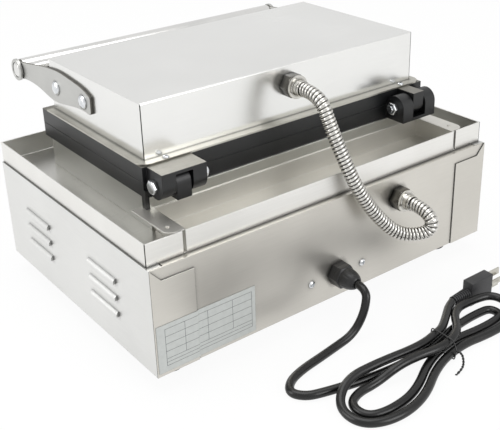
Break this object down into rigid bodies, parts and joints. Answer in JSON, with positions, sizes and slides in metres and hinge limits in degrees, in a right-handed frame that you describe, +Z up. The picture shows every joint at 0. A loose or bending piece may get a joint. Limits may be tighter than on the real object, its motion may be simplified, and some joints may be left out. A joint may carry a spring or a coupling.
{
  "type": "commercial waffle maker",
  "caption": "Countertop waffle maker with a hinged cast plate lid, raised deck with drip rim, bar handle, ribbed conduit and bundled mains lead.",
  "frame": {"origin": "centre of the machine's box at the level of its feet, cord left out", "axes": "+X to the machine's right seen from its front, +Y towards the back with the hinges and cord, +Z up"},
  "size_m": [0.3854, 0.4429, 0.22],
  "materials": {
    "housing_steel": "satin rolled stainless sheet",
    "handle_steel": "satin steel tube and plate",
    "cast_iron_plates": "black non-stick coating",
    "zinc_steel": "bright zinc plate",
    "nickel_fittings": "nickel plate",
    "foot_rubber": "moulded rubber",
    "element_sheath": "heat-dulled sheath",
    "insulation_board": "pressed board",
    "black_plastic": "moulded",
    "shaft_brass": "turned",
    "rocker_red": "moulded",
    "lamp_lens": "clear coloured lens",
    "terminal_white": "moulded",
    "plate_white": "printed film, blank",
    "cord_rubber": "extruded sheath",
    "tie_plastic": "coated wire",
    "plug_plastic": "moulded",
    "prong_brass": "plated"
  },
  "bodies": {
    "base": {"bottom_plate": "housing_steel", "left_side_panel": "housing_steel", "right_side_panel": "housing_steel", "front_panel": "housing_steel", "back_panel": "housing_steel", "deck_pan": "housing_steel", "pedestal_box": "housing_steel", "drip_trough": "housing_steel", "trough_rivets": "zinc_steel", "feet": "foot_rubber", "foot_screws": "zinc_steel", "lower_mould": "cast_iron_plates", "lower_element": "element_sheath", "lower_element_clamp": "zinc_steel", "lower_insulation": "insulation_board", "hinge_bolts": "zinc_steel", "hinge_nuts": "zinc_steel", "thermostat": "black_plastic", "thermostat_bulb": "element_sheath", "timer": "black_plastic", "power_switch": "black_plastic", "indicator_lamps": "lamp_lens", "terminal_block": "terminal_white", "terminal_screws": "zinc_steel", "earth_stud": "shaft_brass", "rating_plate": "plate_white", "back_screws": "zinc_steel", "conduit_base_nut": "nickel_fittings", "conduit_base_locknut": "zinc_steel", "conduit": "nickel_fittings", "gland_body": "black_plastic", "gland_dome": "black_plastic", "gland_locknut": "black_plastic", "cord_lead": "cord_rubber", "cord_hank": "cord_rubber", "cord_tail": "cord_rubber", "cord_tie": "tie_plastic", "plug_body": "plug_plastic", "plug_prongs": "prong_brass"},
    "lid": {"lid_cover": "housing_steel", "lid_flange": "housing_steel", "flange_screws": "zinc_steel", "upper_mould": "cast_iron_plates", "upper_element": "element_sheath", "upper_element_clamp": "zinc_steel", "upper_insulation": "insulation_board", "left_handle_arm": "handle_steel", "right_handle_arm": "handle_steel", "arm_screws": "zinc_steel", "handle_bar": "handle_steel", "bar_caps": "handle_steel", "conduit_lid_nut": "nickel_fittings", "conduit_lid_locknut": "zinc_steel"},
    "thermostat_knob": {"thermostat_knob": "black_plastic", "thermostat_shaft": "shaft_brass"},
    "timer_knob": {"timer_knob": "black_plastic", "timer_shaft": "shaft_brass"},
    "rocker": {"power_rocker": "rocker_red"}
  },
  "joints": [
    {"name": "lid_hinge", "type": "hinge", "parent": "base", "child": "lid", "pos_m": [0, 0.08175, 0.158], "axis": [-1, 0, 0], "range_deg": [0, 85], "deforming": ["conduit"]},
    {"name": "thermostat_turn", "type": "hinge", "parent": "base", "child": "thermostat_knob", "pos_m": [0.06, -0.15, 0.066], "axis": [0, -1, 0], "range_deg": [-270, 0]},
    {"name": "timer_turn", "type": "hinge", "parent": "base", "child": "timer_knob", "pos_m": [0.125, -0.15, 0.066], "axis": [0, -1, 0], "range_deg": [-300, 0]},
    {"name": "power_rock", "type": "hinge", "parent": "base", "child": "rocker", "pos_m": [-0.125, -0.138, 0.066], "axis": [1, 0, 0], "range_deg": [0, 18]}
  ]
}
